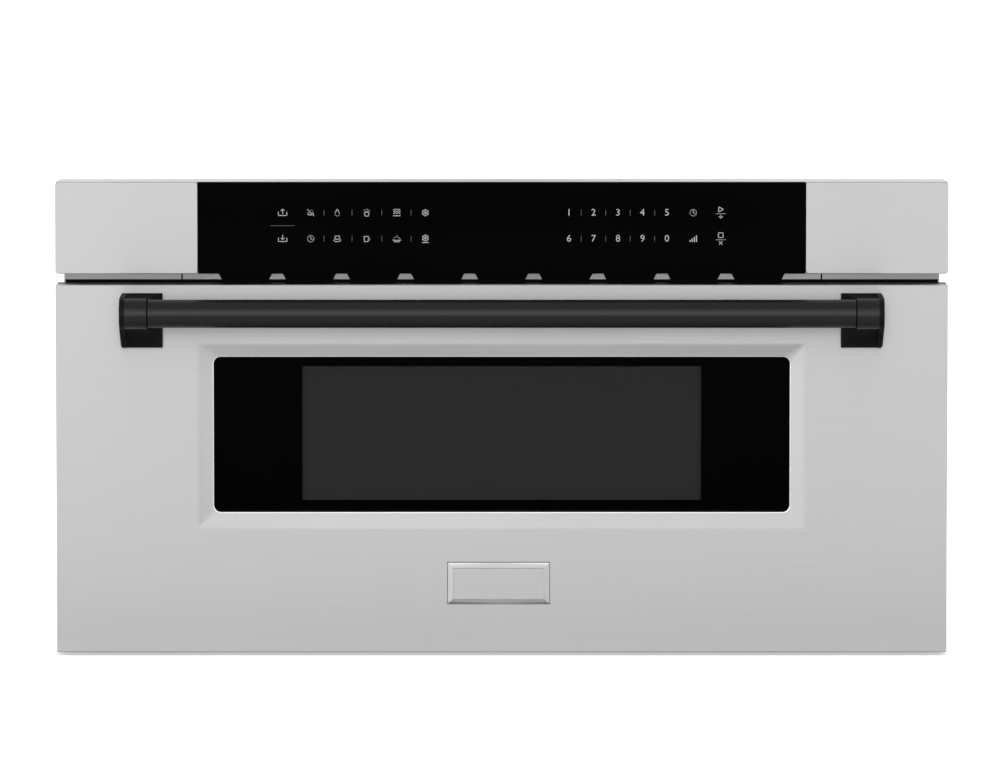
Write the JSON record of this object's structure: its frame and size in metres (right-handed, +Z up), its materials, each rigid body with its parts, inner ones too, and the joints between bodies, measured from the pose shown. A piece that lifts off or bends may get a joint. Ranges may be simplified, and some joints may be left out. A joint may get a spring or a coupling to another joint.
{
  "type": "microwave drawer",
  "caption": "Built-in microwave drawer: bevelled window, tubular handle, touch panel, oven tub on rack-driven telescopic slides, with its chassis, fan and magnetron.",
  "frame": {"origin": "centre of the base pan's underside, on the shelf that carries the cabinet", "axes": "+Z up, the drawer opens towards -Y, +X to the right seen from the front"},
  "size_m": [0.76, 0.665, 0.4061],
  "materials": {
    "stainless": "horizontally brushed stainless steel",
    "oven_steel": "satin stainless oven liner",
    "zinc_sheet": "bare zinc-coated sheet",
    "rail_steel": "bright zinc-plated rolled steel",
    "black_glass": "polished black glass",
    "window_glass": "dark tinted glass",
    "screen_black": "black enamelled perforated sheet",
    "handle_black": "matt black powder coat",
    "black_plastic": "black moulded plastic",
    "white_plastic": "natural acetal",
    "ceramic": "glazed glass-ceramic",
    "mica": "microwave-clear sheet",
    "motor_metal": "plain aluminium",
    "laminations": "varnished steel laminations",
    "board": "circuit board",
    "screw_steel": "zinc-plated steel"
  },
  "bodies": {
    "chassis": {"base_pan": "zinc_sheet", "cabinet_wrap": "zinc_sheet", "rear_cover": "zinc_sheet", "front_frame": "stainless", "vent_strip": "stainless", "cavity_liner": "oven_steel", "outer_rail_right": "rail_steel", "outer_rail_left": "rail_steel", "rail_mount_right": "zinc_sheet", "rail_mount_left": "zinc_sheet", "gear_shaft": "rail_steel", "drive_bracket": "zinc_sheet", "drive_motor": "motor_metal", "waveguide": "zinc_sheet", "magnetron": "motor_metal", "air_duct": "black_plastic", "fan_shroud": "black_plastic", "fan_motor": "laminations", "stirrer_motor": "motor_metal", "stirrer_cover": "mica", "hv_transformer": "laminations", "hv_capacitor": "motor_metal", "cavity_lamp": "black_plastic", "thermal_cutouts": "black_plastic", "switch_bracket": "black_plastic", "interlock_switches": "black_plastic", "control_housing": "stainless", "panel_cap_right": "stainless", "panel_cap_left": "stainless", "touch_glass": "black_glass", "control_board": "board", "display_module": "black_plastic", "filter_board": "board", "power_gland": "black_plastic", "chassis_screws": "screw_steel"},
    "drawer": {"drawer_skin": "stainless", "inner_panel": "oven_steel", "window_glass": "window_glass", "window_screen": "screen_black", "inner_pane": "window_glass", "choke_ring": "oven_steel", "choke_cover": "black_plastic", "handle_tube": "handle_black", "handle_bracket_right": "handle_black", "handle_bracket_left": "handle_black", "handle_screws": "screw_steel", "drawer_tub": "oven_steel", "ceramic_plate": "ceramic", "inner_rail_left": "rail_steel", "inner_rail_right": "rail_steel", "rail_arm_left": "zinc_sheet", "rail_arm_right": "zinc_sheet", "rack": "white_plastic", "latch_prongs": "black_plastic"},
    "mid_slide_right": {"mid_rail_right": "rail_steel"},
    "mid_slide_left": {"mid_rail_left": "rail_steel"},
    "gear": {"drive_gear": "white_plastic"},
    "pinion": {"motor_pinion": "white_plastic"},
    "fan": {"fan_rotor": "white_plastic"},
    "stirrer": {"stirrer_blade": "motor_metal"}
  },
  "joints": [
    {"name": "drawer_slide", "type": "slide", "parent": "chassis", "child": "drawer", "axis": [0, -1, 0], "range_m": [0, 0.385]},
    {"name": "mid_slide_right", "type": "slide", "parent": "chassis", "child": "mid_slide_right", "axis": [0, -1, 0], "range_m": [0, 0.1925]},
    {"name": "mid_slide_left", "type": "slide", "parent": "chassis", "child": "mid_slide_left", "axis": [0, -1, 0], "range_m": [0, 0.1925]},
    {"name": "gear_spin", "type": "hinge", "parent": "chassis", "child": "gear", "pos_m": [0.262, -0.24, 0.068], "axis": [1, 0, 0], "range_deg": [-2, 1228]},
    {"name": "pinion_spin", "type": "hinge", "parent": "chassis", "child": "pinion", "pos_m": [0.27, -0.21043, 0.05023], "axis": [1, 0, 0], "range_deg": [-2804, 2]},
    {"name": "fan_spin", "type": "hinge", "parent": "chassis", "child": "fan", "pos_m": [0.29, 0.26, 0.222], "axis": [0, 1, 0], "continuous": true},
    {"name": "stirrer_spin", "type": "hinge", "parent": "chassis", "child": "stirrer", "pos_m": [0, -0.02, 0.272], "axis": [0, 0, 1], "continuous": true}
  ],
  "couplings": [
    {"joint": "mid_slide_right", "follows": "drawer_slide", "ratio": 0.5},
    {"joint": "mid_slide_left", "follows": "drawer_slide", "ratio": 0.5},
    {"joint": "gear_spin", "follows": "drawer_slide", "rad_per_m": 55.556},
    {"joint": "pinion_spin", "follows": "drawer_slide", "rad_per_m": -126.98}
  ]
}
